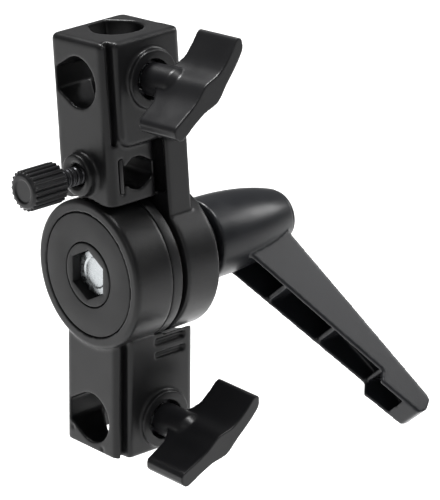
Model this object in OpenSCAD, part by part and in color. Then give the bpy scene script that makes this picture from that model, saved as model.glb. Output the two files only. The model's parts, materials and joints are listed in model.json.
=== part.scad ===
// Umbrella swivel bracket: two clamp blocks on a lever-locked tilt pivot.
// Frame: origin at the mouth of the lower socket, +Z up, the tilt axis along Y,
// wing knobs on the +X side, locking lever on the +Y side. Millimetres.

/* [Pivot] */
// Height of the tilt axis above the lower socket's mouth
pivot_h = 59.6; // [56:0.1:66]
// Lean of the upper half towards -X at rest, in degrees
rest_lean = 5.4; // [0:0.1:12]
// Radius of the front drum and its ring
drum_r = 24.2; // [23.5:0.1:26]
// Radius of the rear drum
rear_drum_r = 24; // [23:0.1:25]
// Length of the front drum
front_drum_l = 14.7; // [13.5:0.1:16]
// Thickness of the ring behind the front drum
ring_t = 3.75; // [3:0.05:4.5]
// Thickness of the friction disc
disc_t = 2.3; // [2:0.1:2.6]
// Length of the rear drum
rear_drum_l = 13.4; // [12.5:0.1:14.5]

/* [Blocks] */
// Width of each block along X, without its raised panel
core_w = 25.6; // [25:0.2:28]
// Depth of each block along Y
block_d = 30.25; // [30:0.25:32]
// How far the drum face stands in front of the blocks
block_set_back = 1.25; // [0.5:0.25:2]
// Height of the raised panel on the +X side
panel_t = 1.8; // [1:0.1:2.4]
// Radius of the blocks' upright corners
corner_r = 2.7; // [1.5:0.1:3]
// Height of the upper block's top above the tilt axis
upper_top = 76; // [75:0.5:80]
// Height of the step where the upper block narrows to its umbrella part
upper_step = 42; // [41:0.5:43]
// Height of the umbrella part's underside above the tilt axis
upper_base = 23.6; // [23:0.1:24.5]

/* [Sockets] */
// Radius of the four stud sockets, for 5/8 inch studs
socket_r = 8.2; // [8:0.05:8.3]
// Distance from a socket's axis to the blunt end of its V seat
seat_reach = 10.3; // [9.5:0.1:10.6]
// Height of the upper cross socket above the tilt axis
upper_cross_h = 62; // [61:0.5:63]
// Depth of the lower cross socket below the tilt axis
lower_cross_h = 48.8; // [48:0.2:49.6]
// Radius of the umbrella shaft's hole
umbrella_r = 5.2; // [4.5:0.1:5.3]
// Height of the umbrella hole above the tilt axis
umbrella_h = 32.8; // [32.4:0.1:33.2]

/* [Lever] */
// Largest radius of the lever's hub
hub_r = 13.4; // [13:0.1:14]
// Direction of the lever's arm below the +X axis, in degrees
arm_angle = 49; // [0:1:90]
// Length of the arm from the tilt axis
arm_l = 77.5; // [72:0.5:80]

/* [Knobs] */
// Angle of the upper wing knob at rest, in degrees
upper_wing_angle = 33; // [0:1:90]
// Angle of the lower wing knob at rest, in degrees
lower_wing_angle = 24; // [0:1:90]
// Half the span of a wing knob
wing_reach = 18.8; // [17:0.1:19.5]
// Radius of the ribbed thumb knob
thumb_r = 6.6; // [6:0.1:7]
// Number of ribs on the thumb knob
thumb_ribs = 28; // [20:1:32]

/* [Hidden] */
$fn = 96;
eps = 0.01;

// Depths along the tilt axis, counted from the drum's front face.
socket_d = 18.4;
ring_d = front_drum_l;
disc_d = ring_d + ring_t;
rear_d = disc_d + disc_t + 0.05;
rear_end = rear_d + rear_drum_l;
block_end = block_set_back + block_d;
core_x = core_w / 2;
panel_x = core_x + panel_t;

// Cover, keeper and bolt in the front drum.
cover_r = 20.3;
cover_t = 2.4;
keeper_r = 10.5;
pocket_flats = 14.6;
head_flats = 14.29;
head_d = 3;
head_t = 6;
bolt_r = 4.76;
bolt_end = 48.5;
washer_t = 1.3;
washer_r = 9.6;
head_end = head_d + head_t;
washer_end = head_end + washer_t;

// Clamping screw, insert and shoe on the +X side of each block.
boss_r = 9.4;
boss_x = 16.5;
stem_r = 5.3;
stem_x = 15.2;
knob_x = 43.4;
wing_x = 24.5;
wing_root_x = 20.5;
wing_half_t = 2.3;
screw_r = 4;
screw_hole_r = 4.25;
screw_end = 27.5;
insert_r = 6.3;
insert_x0 = 8.9;
insert_x1 = 12.1;
shoe_r = 3.6;
shoe_x0 = 8.45;
shoe_x1 = 10;

// Umbrella clamp on the -Y side of the upper block.
umbrella_d = 12.3;
umbrella_seat = 6.3;
umbrella_back = 20;
notch_d = 6.9;
notch_h = 3.2;
plate_d = 5.1;
plate_h = 11.5;
plate_x0 = -8;
thumb_boss_r = 6.8;
thumb_boss_d = -2.2;
thumb_d0 = -23.2;
thumb_d1 = -9.8;
thumb_screw_r = 3;

// Leg between the upper block and the rear drum.
leg_x = 16.9;
leg_end = 29.9;
leg_top = 47;
pocket_x = 15.2;
pocket_end = 23.6;

// Lever: thrust washer, flanged nut, hub, chamber, spring and screw.
thrust_end = rear_end + 0.05 + 1.9;
nut_d = thrust_end + 0.05;
flange_end = 44.6;
flange_r = 11;
barrel_r = 8;
spline_r = 8.8;
spline_n = 12;
spline_end = 48.8;
nut_end = 55.6;
hub_d = 45;
hub_end = 79;
hub_centre = 48.8;
hub_half_l = 40.1;
web_d = 56;
web_end = 58.5;
chamber_r = 6.5;
chamber_end = 74;
lever_screw_r = 3;
lever_head_d = 68.5;
lever_head_end = 72;
lever_head_r = 5.8;
spring_r = 4.8;
spring_wire = 0.5;
spring_turns = 4;

// Arm of the lever: half-widths at its root and tip, and its two slopes.
arm_half_root = 7.1;
arm_half_tip = 5.5;
channel_half_root = 6;
channel_half_tip = 4.1;
open_root = 56.3;
open_slope = 0.59;
back_root = 72.8;
back_slope = 0.355;
step_r0 = 60.5;
step_r1 = 64;
step_h = 4.6;
rib_pitch = 17.9;
rib_t = 1.6;

// Colours.
black_plastic = [0.09, 0.09, 0.1];
zinc = [0.8, 0.81, 0.82];
dark_steel = [0.2, 0.2, 0.21];
brass = [0.72, 0.58, 0.3];
fibre = [0.16, 0.14, 0.12];

// Places its children in the pivot's frame: x and z from the tilt axis, y as depth.
module at_pivot() { translate([0, -socket_d, pivot_h]) children(); }

// The same frame, leaning with the upper half.
module at_upper() { at_pivot() rotate([0, -rest_lean, 0]) children(); }

// Cylinder along Y between two depths.
module y_cyl(r, d0, d1) { translate([0, d0, 0]) rotate([-90, 0, 0]) cylinder(r = r, h = d1 - d0); }

// Tube along Y between two depths.
module y_tube(r, hole, d0, d1) {
    difference() {
        y_cyl(r, d0, d1);
        y_cyl(hole, d0 - 1, d1 + 1);
    }
}

// Cylinder along X between two places.
module x_cyl(r, x0, x1) { translate([x0, 0, 0]) rotate([0, 90, 0]) cylinder(r = r, h = x1 - x0); }

// Solid of revolution about Y; its outline is a list of [radius, depth].
module y_revolve(outline) { rotate([-90, 0, 0]) rotate_extrude() polygon(outline); }

// Round hole with a V seat towards -x. Its flats run on from the circle almost tangent to it.
module seat_profile(r, reach) {
    flat_r = r - 0.03;
    start = [-flat_r * sin(30), flat_r * cos(30)];
    blunt = [-reach, start[1] - (reach + start[0]) * tan(30)];
    circle(r = r);
    polygon([start, blunt, [blunt[0], -blunt[1]], [start[0], -start[1]]]);
}

// Rectangle from low to high corner with four round corners.
module round_rect(low, high, r) {
    translate([low[0] + r, low[1]]) square([high[0] - low[0] - 2 * r, high[1] - low[1]]);
    translate([low[0], low[1] + r]) square([high[0] - low[0], high[1] - low[1] - 2 * r]);
    for (x = [low[0] + r, high[0] - r], y = [low[1] + r, high[1] - r]) translate([x, y]) circle(r = r);
}

// Plan of a block: round corners, a groove behind the front ridge and the raised panel.
module block_plan() {
    groove_d = block_set_back + corner_r - 0.9;
    panel_d = groove_d + 1.8;
    difference() {
        union() {
            round_rect([-core_x, block_set_back], [core_x, block_end], corner_r);
            round_rect([0, panel_d], [panel_x, block_end], 1.2);
        }
        translate([core_x - 1.6, groove_d]) square([1.6 + panel_t + 1, panel_d - groove_d]);
    }
}

// Holes of one clamp: cross socket, screw hole, insert seat and the boss's bore.
module clamp_holes(h) {
    translate([0, block_set_back - 1, h]) rotate([-90, 0, 0])
        linear_extrude(block_d + 2) seat_profile(socket_r, seat_reach);
    translate([0, socket_d, h]) x_cyl(screw_hole_r, 2, insert_x0 + eps);
    translate([0, socket_d, h]) x_cyl(insert_r, insert_x0, boss_x + 1);
}

module lower_body() {
    bottom = -pivot_h;
    color(black_plastic) at_pivot() difference() {
        union() {
            y_revolve([[0, 0], [drum_r - 1.3, 0], [drum_r, 1.3],
                [drum_r, front_drum_l - 0.4], [drum_r - 0.4, front_drum_l], [0, front_drum_l]]);
            translate([0, 0, bottom]) linear_extrude(pivot_h - 14) block_plan();
            translate([0, socket_d, -lower_cross_h]) x_cyl(boss_r, core_x - 1, boss_x);
        }
        y_cyl(drum_r + 0.05, ring_d, disc_d);
        y_cyl(drum_r + 0.7, disc_d - eps, block_end + 2);
        y_cyl(cover_r, -1, cover_t);
        y_cyl(keeper_r, -1, head_end);
        y_cyl(washer_r, head_end - eps, washer_end);
        y_cyl(bolt_r + 0.14, washer_end - eps, ring_d + 1);
        translate([0, socket_d, bottom - 1]) linear_extrude(1 + pivot_h - 28)
            seat_profile(socket_r, seat_reach);
        clamp_holes(-lower_cross_h);
        for (z = [-22.5, -27]) translate([panel_x - 1.3, 15.4, z - 1.1]) cube([4, 12.4, 2.2]);
    }
}

module upper_body() {
    color(black_plastic) at_upper() difference() {
        union() {
            y_cyl(rear_drum_r, rear_d, rear_end);
            translate([0, 0, upper_step]) linear_extrude(upper_top - upper_step) block_plan();
            translate([0, 0, upper_base]) linear_extrude(upper_step - upper_base + 1)
                round_rect([-core_x, block_set_back], [core_x, umbrella_back], 2.6);
            translate([-leg_x, rear_d, 5]) cube([2 * leg_x, leg_end - rear_d, upper_step - 5 + eps]);
            translate([0, rear_d, upper_step]) rotate([-90, 0, 0]) linear_extrude(leg_end - rear_d)
                polygon([[-leg_x, 0], [leg_x, 0], [core_x, upper_step - leg_top],
                    [-core_x, upper_step - leg_top]]);
            translate([0, socket_d, upper_cross_h]) x_cyl(boss_r, core_x - 1, boss_x);
            translate([0, 0, umbrella_h]) y_cyl(thumb_boss_r, thumb_boss_d, 3);
        }
        y_cyl(drum_r + 0.6, -1, rear_d - 0.5);
        y_cyl(6.6, rear_d - 1, rear_end + 1);
        translate([-pocket_x, umbrella_back, rear_drum_r + 0.5])
            cube([2 * pocket_x, pocket_end - umbrella_back, upper_step - rear_drum_r - 0.5]);
        translate([-leg_x - 1, umbrella_back, 5]) cube([2 * leg_x + 2, rear_d - umbrella_back, upper_step - 5]);
        translate([0, socket_d, upper_step + 1]) linear_extrude(upper_top) seat_profile(socket_r, seat_reach);
        clamp_holes(upper_cross_h);
        translate([0, umbrella_d, umbrella_h]) umbrella_hole();
        translate([0, 0, umbrella_h]) y_cyl(thumb_screw_r + 0.3, thumb_boss_d - 1, plate_d + eps);
        translate([0, plate_d, umbrella_h]) nut_plate_block(0);
    }
}

// Umbrella hole along X: circle, V seat towards +Y and the shoe's notch towards -Y.
module umbrella_hole() {
    notch_l = umbrella_d - notch_d;
    translate([-core_x - 5, 0, 0]) rotate([90, 0, 90]) linear_extrude(core_w + 10) union() {
        rotate([0, 0, 180]) seat_profile(umbrella_r, umbrella_seat);
        translate([-notch_l, -notch_h]) square([notch_l, 2 * notch_h]);
    }
}

// Plate that the thumb screw threads into, or its slot.
module nut_plate_block(gap) {
    translate([plate_x0 + gap, gap, -plate_h / 2 + gap])
        cube([core_x - plate_x0 - gap, notch_d - plate_d - gap, plate_h - 2 * gap]);
}

module drum_cover() { color(black_plastic) at_pivot() y_tube(cover_r - 0.15, keeper_r, 0, cover_t); }

module bolt_keeper() {
    color(black_plastic) at_pivot() difference() {
        y_cyl(keeper_r - 0.1, 0, head_end);
        translate([0, -1, 0]) rotate([-90, 30, 0])
            cylinder(r = pocket_flats / 2 / cos(30), h = head_end + 2, $fn = 6);
    }
}

module pivot_bolt() {
    color(zinc) at_pivot() union() {
        intersection() {
            translate([0, head_d, 0]) rotate([-90, 30, 0])
                cylinder(r = head_flats / 2 / cos(30), h = head_t, $fn = 6);
            y_revolve([[0, head_d], [head_flats / 2, head_d], [head_flats / 2 + 1.2, head_d + 0.8],
                [head_flats / 2 + 1.2, head_end], [0, head_end]]);
        }
        y_cyl(bolt_r, head_end - eps, bolt_end);
    }
}

module bolt_washer() { color(zinc) at_pivot() y_tube(washer_r - 0.1, bolt_r + 0.14, head_end, washer_end); }

module friction_ring() { color(black_plastic) at_pivot() y_tube(drum_r, bolt_r + 0.24, ring_d, disc_d); }

module friction_disc() { color(fibre) at_pivot() y_tube(drum_r - 2.7, bolt_r + 0.24, disc_d, disc_d + disc_t); }

module pivot_bush() { color(brass) at_upper() y_tube(6.6, bolt_r + 0.06, rear_d + 0.1, rear_end - 0.1); }

module thrust_washer() { color(zinc) at_pivot() y_tube(12, bolt_r + 0.24, rear_end + 0.05, thrust_end); }

// Parts of one clamp, placed at its screw's axis.
module clamp_insert() {
    difference() {
        x_cyl(insert_r, insert_x0, insert_x1);
        x_cyl(screw_r + 0.06, insert_x0 - 1, insert_x1 + 1);
    }
}

module clamp_shoe() { x_cyl(shoe_r, shoe_x0, shoe_x1); }

module clamp_screw() { x_cyl(screw_r, shoe_x1 + 0.05, screw_end); }

// Centre line of the wings: one is almost straight, the other curls towards its tip.
function wing_mid(u) = (u > 0 ? 0.0145 * u * u : 0.03 * u) - 0.1;

// Half the thickness of the wings: a bulge at the screw that runs out into each wing.
function wing_half(u) = wing_half_t + 1.6 * exp(-u * u / 20) + (u < 0 ? -0.02 * u : 0);

// Section of the wings, square to the screw.
module wing_section() {
    stations = [for (i = [-12:12]) i * wing_reach / 12];
    polygon(concat([for (u = stations) [u, wing_mid(u) + wing_half(u)]],
        [for (i = [12:-1:-12]) let (u = i * wing_reach / 12) [u, wing_mid(u) - wing_half(u)]]));
}

// Wing knob: round stem and two swept wings, with a blind hole for its screw.
module wing_knob(angle) {
    difference() {
        union() {
            x_cyl(stem_r, stem_x, wing_x + 4);
            rotate([angle, 0, 0]) intersection() {
                rotate([90, 0, 90]) linear_extrude(60) wing_section();
                translate([0, 0, -20]) linear_extrude(40)
                    polygon([[wing_root_x, 0], [wing_x + 1, -9], [wing_x + 2.2, -wing_reach - 1],
                        [knob_x, -wing_reach - 1], [knob_x, wing_reach + 1],
                        [wing_x + 1, wing_reach + 1], [wing_x, 9]]);
            }
        }
        x_cyl(screw_r, stem_x - 1, screw_end);
    }
}

module lower_clamp() { at_pivot() translate([0, socket_d, -lower_cross_h]) children(); }

module upper_clamp() { at_upper() translate([0, socket_d, upper_cross_h]) children(); }

module lower_clamp_insert() { color(dark_steel) lower_clamp() clamp_insert(); }

module lower_clamp_shoe() { color(fibre) lower_clamp() clamp_shoe(); }

module lower_clamp_screw() { color(zinc) lower_clamp() clamp_screw(); }

module lower_wing_knob() { color(black_plastic) lower_clamp() wing_knob(lower_wing_angle); }

module upper_clamp_insert() { color(dark_steel) upper_clamp() clamp_insert(); }

module upper_clamp_shoe() { color(fibre) upper_clamp() clamp_shoe(); }

module upper_clamp_screw() { color(zinc) upper_clamp() clamp_screw(); }

module upper_wing_knob() { color(black_plastic) upper_clamp() wing_knob(upper_wing_angle); }

module thumb_nut_plate() {
    color(black_plastic) at_upper() translate([0, plate_d, umbrella_h]) difference() {
        nut_plate_block(0.15);
        y_cyl(thumb_screw_r + 0.06, -5, 10);
    }
}

module thumb_shoe() { color(fibre) at_upper() translate([0, 0, umbrella_h]) y_cyl(2.6, 5.95, 6.95); }

module thumb_screw() { color(dark_steel) at_upper() translate([0, 0, umbrella_h]) y_cyl(thumb_screw_r, -18, 5.9); }

module thumb_knob() {
    rib_r = thumb_r - 0.7;
    color(black_plastic) at_upper() translate([0, 0, umbrella_h]) difference() {
        union() {
            y_revolve([[0, thumb_d0], [thumb_r - 1.4, thumb_d0], [rib_r, thumb_d0 + 1],
                [rib_r, thumb_d1], [0, thumb_d1]]);
            for (i = [0:thumb_ribs - 1]) rotate([0, i * 360 / thumb_ribs, 0])
                translate([rib_r - 0.4, thumb_d0 + 0.6, -0.35]) cube([1.1, thumb_d1 - thumb_d0 - 1, 0.7]);
        }
        y_cyl(thumb_screw_r, -18, 0);
    }
}

// Row of splines around Y between two depths.
module splines(r0, r1, width, d0, d1) {
    for (i = [0:spline_n - 1]) rotate([0, i * 360 / spline_n, 0])
        translate([r0, d0, -width / 2]) cube([r1 - r0, d1 - d0, width]);
}

module lever_nut() {
    color(dark_steel) at_pivot() difference() {
        union() {
            y_cyl(flange_r, nut_d, flange_end);
            y_cyl(barrel_r, flange_end - eps, nut_end);
            splines(barrel_r - 1, spline_r, 2, flange_end - eps, spline_end);
        }
        y_cyl(bolt_r + 0.04, nut_d - 1, bolt_end + 1);
        y_cyl(lever_screw_r, bolt_end, nut_end + 1);
    }
}

// Radius of the hub's outside at a depth: a quarter ellipse towards its end.
function hub_radius(d) = d < hub_centre ? hub_r : hub_r * sqrt(1 - pow((d - hub_centre) / hub_half_l, 2));

// Half-width of the arm or its channel at a distance from the tilt axis.
function arm_half(r, root, tip) = root + (tip - root) * r / arm_l;

// Plan of the arm or its channel, from a root to a tip half-width.
module arm_plan(r1, root, tip) {
    half = arm_half(r1, root, tip);
    polygon([[0, -root], [r1, -half], [r1, half], [0, root]]);
}

// Side outline of the arm; x runs out along the arm, y along the tilt axis.
module arm_side() {
    step_base = open_root + open_slope * (step_r0 - 10);
    tip_open = step_base - 2.4 + 0.62 * (arm_l - step_r1);
    polygon([[0, open_root - 5.9], [10, open_root], [step_r0, step_base], [step_r1, step_base - 2.4],
        [arm_l, tip_open], [arm_l, tip_open + 3.4], [arm_l - 1.2, back_root + back_slope * arm_l - 3.6],
        [arm_l - 4.2, back_root + back_slope * (arm_l - 4.2)], [0, back_root]]);
}

// Hollow of the arm, open towards the blocks, with its cross ribs left standing.
module arm_channel() {
    wall = 2.4;
    difference() {
        intersection() {
            translate([0, 0, -20]) linear_extrude(40) polygon([[11.5, open_root - 12],
                [arm_l - 5.5, open_root + 10], [arm_l - 5.5, back_root + back_slope * (arm_l - 5.5) - wall],
                [11.5, back_root + back_slope * 11.5 - wall]]);
            rotate([90, 0, 0]) translate([0, 0, -120]) linear_extrude(140)
                arm_plan(arm_l - 5.5, channel_half_root, channel_half_tip);
        }
        for (i = [0:2]) translate([24.2 + i * rib_pitch - rib_t / 2, open_root + 0.8 + open_slope *
            (14.2 + i * rib_pitch), -20]) cube([rib_t, 60, 40]);
    }
}

module lever_handle() {
    color(black_plastic) at_pivot() difference() {
        union() {
            y_revolve(concat([[0, hub_d], [hub_r - 0.5, hub_d], [hub_r, hub_d + 0.5]],
                [for (i = [0:14]) let (d = hub_centre + i * (hub_end - hub_centre) / 14) [hub_radius(d), d]],
                [[0, hub_end]]));
            rotate([0, arm_angle, 0]) difference() {
                intersection() {
                    translate([0, 0, -20]) linear_extrude(40) arm_side();
                    rotate([90, 0, 0]) translate([0, 0, -120]) linear_extrude(140)
                        arm_plan(arm_l, arm_half_root, arm_half_tip);
                }
                arm_channel();
            }
        }
        y_cyl(barrel_r + 0.15, hub_d - 1, web_d);
        y_cyl(spline_r + 0.2, spline_end + 0.1, web_d);
        splines(barrel_r - 1, spline_r + 0.2, 2.3, hub_d - 1, spline_end + 0.2);
        y_cyl(lever_screw_r + 0.1, web_d - 1, web_end + 1);
        y_cyl(chamber_r, web_end, hub_end + 1);
    }
}

module lever_screw() {
    color(zinc) at_pivot() union() {
        y_cyl(lever_screw_r, bolt_end + 1.1, lever_head_d + eps);
        y_cyl(lever_head_r, lever_head_d, lever_head_end);
    }
}

// Ring of wire points of the spring at one station along its helix.
function coil_ring(i, steps, sides, length) = let (a = 360 * spring_turns * i / steps)
    [for (k = [0:sides - 1]) let (b = 360 * k / sides, r = spring_r + spring_wire * cos(b))
        [r * cos(a), spring_wire + (length - 2 * spring_wire) * i / steps + spring_wire * sin(b), r * sin(a)]];

module lever_spring() {
    steps = 16 * spring_turns;
    sides = 6;
    length = lever_head_d - web_end - 0.1;
    points = [for (i = [0:steps]) each coil_ring(i, steps, sides, length)];
    sleeve = [for (i = [0:steps - 1], k = [0:sides - 1]) let (n = (k + 1) % sides)
        [i * sides + k, (i + 1) * sides + k, (i + 1) * sides + n, i * sides + n]];
    ends = [[for (k = [0:sides - 1]) k], [for (k = [sides - 1:-1:0]) steps * sides + k]];
    color(zinc) at_pivot() translate([0, web_end + 0.05, 0]) polyhedron(points, concat(sleeve, ends));
}

module lever_end_cap() {
    dome_r = hub_radius(hub_end) - 0.5;
    dome_h = 3.6;
    color(black_plastic) at_pivot() y_revolve(concat([[0, chamber_end], [chamber_r, chamber_end],
        [chamber_r, hub_end], [dome_r, hub_end]],
        [for (a = [15:15:75]) [dome_r * cos(a), hub_end + dome_h * sin(a)]], [[0, hub_end + dome_h]]));
}

lower_body();
drum_cover();
bolt_keeper();
pivot_bolt();
bolt_washer();
friction_ring();
friction_disc();
lower_clamp_insert();
upper_body();
pivot_bush();
upper_clamp_insert();
thumb_nut_plate();
thrust_washer();
lever_nut();
lever_handle();
lever_spring();
lever_screw();
lever_end_cap();
upper_clamp_shoe();
upper_wing_knob();
upper_clamp_screw();
lower_clamp_shoe();
lower_wing_knob();
lower_clamp_screw();
thumb_shoe();
thumb_knob();
thumb_screw();
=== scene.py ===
"""Studio model of an umbrella swivel bracket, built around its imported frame.

Shapes are drawn in millimetres in the pivot frame: x, depth behind the front drum's face, and
height above the tilt axis. The upper half is drawn upright and leans when it is placed. A
cutter runs a millimetre or two past the faces that it opens. A finished piece is placed in the
shared frame, in metres.
"""

import json
import logging
import math
from dataclasses import dataclass, field
from enum import Enum

import bmesh
import bpy
from mathutils import Matrix, Vector


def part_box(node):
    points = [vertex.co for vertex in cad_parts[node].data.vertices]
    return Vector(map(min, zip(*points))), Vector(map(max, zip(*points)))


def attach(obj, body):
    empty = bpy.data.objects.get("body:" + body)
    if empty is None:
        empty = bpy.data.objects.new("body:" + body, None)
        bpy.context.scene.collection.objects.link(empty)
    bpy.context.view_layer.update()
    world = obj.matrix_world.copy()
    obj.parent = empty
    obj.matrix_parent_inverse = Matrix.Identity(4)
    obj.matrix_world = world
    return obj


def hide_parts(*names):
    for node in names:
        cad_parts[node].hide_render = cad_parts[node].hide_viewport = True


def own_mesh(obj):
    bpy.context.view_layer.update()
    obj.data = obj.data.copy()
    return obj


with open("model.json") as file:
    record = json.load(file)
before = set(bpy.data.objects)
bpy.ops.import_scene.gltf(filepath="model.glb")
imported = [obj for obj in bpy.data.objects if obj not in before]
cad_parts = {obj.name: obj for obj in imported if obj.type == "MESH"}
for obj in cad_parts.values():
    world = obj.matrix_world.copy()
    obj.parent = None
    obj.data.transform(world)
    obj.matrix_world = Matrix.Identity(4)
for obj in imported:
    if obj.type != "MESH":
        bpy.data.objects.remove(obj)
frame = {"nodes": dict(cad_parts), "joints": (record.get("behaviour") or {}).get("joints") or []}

LOG = logging.getLogger("swivel_bracket")
MM = 0.001
Outline = list[tuple[float, float]]


# ---------------------------------------------------------------- drawing


def add_object(name: str, data: bpy.types.ID) -> bpy.types.Object:
    """Put a new object into the scene.

    Args:
        name: Its name.
        data: Its mesh, camera or light.

    Returns:
        The new object.
    """
    made = bpy.data.objects.new(name, data)
    bpy.context.scene.collection.objects.link(made)
    return made


class Facing(Enum):
    """The plane that an outline is drawn in, and the way that it is thickened."""

    PLAN = "x and depth, thickened upwards"
    FRONT = "x and height, thickened along depth"
    SIDE = "depth and height, thickened along x"

    def point(self, u: float, v: float, w: float) -> Vector:
        """Return the point of an outline's (u, v) at thickness w.

        Args:
            u: First number of the outline's point.
            v: Second number of it.
            w: Level along the thickness.

        Returns:
            The point in space.
        """
        if self is Facing.PLAN:
            return Vector((u, v, w))
        if self is Facing.FRONT:
            return Vector((u, w, v))
        return Vector((w, u, v))


class Join(Enum):
    """How one solid is combined with another."""

    ADD = "UNION"
    CUT = "DIFFERENCE"
    KEEP = "INTERSECT"


def rounded(corners: Outline, radii: list[float], steps: int = 6) -> Outline:
    """Round the corners of a closed outline with arcs.

    Args:
        corners: The outline's corners, in order.
        radii: One radius for each corner; 0 keeps it sharp.
        steps: Segments in each arc.

    Returns:
        The outline with an arc at each rounded corner.
    """
    outline: Outline = []
    for i, (corner, radius) in enumerate(zip(corners, radii)):
        here = Vector(corner)
        before = (Vector(corners[i - 1]) - here).normalized()
        after = (Vector(corners[(i + 1) % len(corners)]) - here).normalized()
        half_angle = before.angle(after) / 2
        nearly_straight = half_angle > math.radians(89)
        if radius <= 0 or nearly_straight:
            outline.append(corner)
            continue
        centre = here + (before + after).normalized() * radius / math.sin(half_angle)
        tangent = radius / math.tan(half_angle)
        start, end = here + before * tangent - centre, here + after * tangent - centre
        sweep = math.atan2(start.x * end.y - start.y * end.x, start.dot(end))
        for k in range(steps + 1):
            arm = Matrix.Rotation(sweep * k / steps, 2) @ start
            outline.append((centre.x + arm.x, centre.y + arm.y))
    return outline


def rectangle(
    low: tuple[float, float], high: tuple[float, float], *radii: float, steps: int = 6
) -> Outline:
    """Return a rectangle with rounded corners.

    Args:
        low: Its first corner.
        high: The corner across from it.
        *radii: One radius for every corner, or one for each, going round from low by way of
            the corner beside it in the outline's first direction.
        steps: Segments in each arc.

    Returns:
        The rectangle's outline.
    """
    corners = [low, (high[0], low[1]), high, (low[0], high[1])]
    return rounded(corners, [radii[k % len(radii)] for k in range(4)], steps)


class Solid:
    """A closed mesh in millimetres, while it is being shaped."""

    def __init__(self, rings: list[list[Vector]], closed: bool = False) -> None:
        """Skin a row of rings.

        Args:
            rings: Rings of the same number of points.
            closed: True joins the last ring to the first, False caps both ends.
        """
        count, last = len(rings[0]), len(rings)
        faces = [
            [i * count + k, i * count + (k + 1) % count]
            + [(i + 1) % last * count + (k + 1) % count, (i + 1) % last * count + k]
            for i in range(last if closed else last - 1)
            for k in range(count)
        ]
        if not closed:
            faces += [list(range(count)), [(last - 1) * count + k for k in range(count)]]
        mesh = bpy.data.meshes.new("blank")
        mesh.from_pydata([p for ring in rings for p in ring], [], faces)
        self.blank = add_object("blank", mesh)
        self._close()

    @classmethod
    def adopt(cls, blank: bpy.types.Object) -> "Solid":
        """Return the solid that an object's live modifiers make.

        Args:
            blank: An object with modifiers that make a closed mesh.

        Returns:
            The solid.
        """
        solid = cls.__new__(cls)
        solid.blank = blank
        solid._settle()
        solid._close()
        return solid

    def _close(self) -> None:
        """Merge points that meet and turn every face outwards."""
        same_point, no_length = 1e-5, 1e-6
        work = bmesh.new()
        work.from_mesh(self.blank.data)
        bmesh.ops.remove_doubles(work, verts=work.verts, dist=same_point)
        bmesh.ops.dissolve_degenerate(work, edges=work.edges, dist=no_length)
        bmesh.ops.recalc_face_normals(work, faces=work.faces)
        work.to_mesh(self.blank.data)
        work.free()

    def _settle(self) -> "Solid":
        """Make the live modifiers' result the mesh.

        Returns:
            This solid.
        """
        graph = bpy.context.evaluated_depsgraph_get()
        mesh = bpy.data.meshes.new_from_object(self.blank.evaluated_get(graph))
        self.blank.modifiers.clear()
        self.blank.data = mesh
        return self

    def combine(self, how: Join, *others: "Solid") -> "Solid":
        """Add, cut or intersect with other solids, which are used up.

        Args:
            how: How they are combined.
            *others: The other solids.

        Returns:
            This solid.
        """
        for other in others:
            step = self.blank.modifiers.new(how.name, "BOOLEAN")
            step.operation, step.solver, step.object = how.value, "MANIFOLD", other.blank
        self._settle()
        for other in others:
            bpy.data.objects.remove(other.blank)
        return self

    def soften(self, cell: float, passes: int) -> "Solid":
        """Round every edge and corner, inside and out, as a mould does.

        Args:
            cell: Size of the new mesh's cells, in millimetres.
            passes: Smoothing passes; more give rounder edges.

        Returns:
            This solid.
        """
        remesh = self.blank.modifiers.new("cells", "REMESH")
        remesh.mode, remesh.voxel_size, remesh.adaptivity = "VOXEL", cell, 0.0
        smooth = self.blank.modifiers.new("smooth", "SMOOTH")
        smooth.factor, smooth.iterations = 0.5, passes
        return self._settle()

    def bevel(self, width: float, angle: float = 35.0, segments: int = 2,
              clamp: bool = True) -> "Solid":
        """Break the edges that are sharper than an angle in degrees.

        Args:
            width: Size of the bevel, in millimetres.
            angle: Edges less sharp than this are left.
            segments: Facets across the bevel.
            clamp: True narrows the bevel where facets beside it are short.

        Returns:
            This solid.
        """
        step = self.blank.modifiers.new("bevel", "BEVEL")
        step.use_clamp_overlap = clamp
        step.width, step.segments, step.limit_method = width, segments, "ANGLE"
        step.angle_limit = math.radians(angle)
        return self._settle()

    def turn(self, degrees: float, axis: str) -> "Solid":
        """Turn the solid about an axis through the drawing's origin."""
        self.blank.data.transform(Matrix.Rotation(math.radians(degrees), 4, axis))
        return self

    def shift(self, x: float = 0.0, depth: float = 0.0, z: float = 0.0) -> "Solid":
        """Move the solid."""
        self.blank.data.transform(Matrix.Translation((x, depth, z)))
        return self


def prism(outline: Outline, low: float, high: float, facing: Facing) -> Solid:
    """Thicken an outline between two levels."""
    return Solid([[facing.point(u, v, w) for u, v in outline] for w in (low, high)])


def lathe(profile: Outline, count: int = 128) -> Solid:
    """Turn a profile of (radius, depth) points about the tilt axis.

    Args:
        profile: A closed row of (radius, depth) points.
        count: Steps in a full turn.

    Returns:
        The turned solid.
    """
    rings = []
    for k in range(count):
        c, s = math.cos(math.tau * k / count), math.sin(math.tau * k / count)
        rings.append([Vector((r * c, depth, r * s)) for r, depth in profile])
    return Solid(rings, closed=True)


def turned(radius: float, start: float, end: float, edge: float = 0.0, bore: float = 0.0) -> Solid:
    """Return a disc or sleeve about the tilt axis.

    Args:
        radius: Outside radius.
        start: Depth of its front.
        end: Depth of its back.
        edge: Radius of its outer edges.
        bore: Inside radius; 0 leaves it whole.

    Returns:
        The solid.
    """
    return lathe(rectangle((bore, start), (radius, end), 0, edge, edge, 0, steps=5))


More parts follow.
